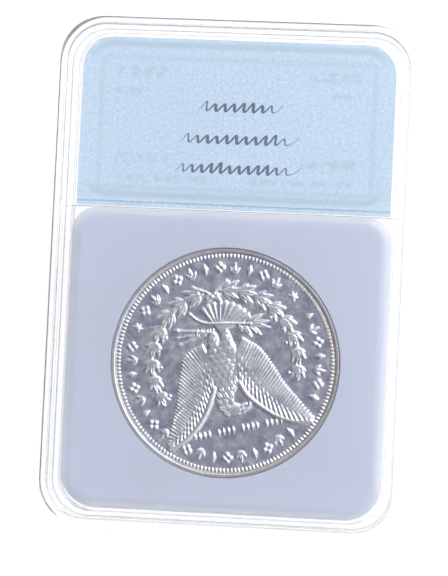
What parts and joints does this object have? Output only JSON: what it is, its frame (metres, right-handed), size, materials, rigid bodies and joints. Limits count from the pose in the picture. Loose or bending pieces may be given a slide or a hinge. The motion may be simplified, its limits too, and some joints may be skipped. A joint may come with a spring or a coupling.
{
  "type": "graded coin slab",
  "caption": "Sealed clear plastic slab that holds a large silver coin in a milky round seat below a two-card label, with stacking rims on both faces.",
  "frame": {"origin": "centre of the slab's outline, at the level of the front stacking rim that it lies on", "axes": "+Z out of the back face, which is the face that shows the back label; +Y towards the label end; +X to the right when the back face is seen with the label at the top"},
  "size_m": [0.06, 0.085, 0.008],
  "materials": {
    "clear_shell": "clear moulded polystyrene with fine handling marks",
    "milky_insert": "milky translucent plastic with a cool grey-lilac tint",
    "coin_silver": "struck silver, bright, lightly toned",
    "front_card": "pale blue card",
    "back_card": "light blue card"
  },
  "bodies": {
    "slab": {"front_shell": "clear_shell", "back_shell": "clear_shell", "coin_insert": "milky_insert", "front_label": "front_card", "back_label": "back_card"},
    "coin": {"coin": "coin_silver"}
  },
  "joints": [
    {"name": "coin_turn", "type": "hinge", "parent": "slab", "child": "coin", "pos_m": [0, -0.01425, 0.00395], "axis": [0, 0, 1], "continuous": true}
  ]
}
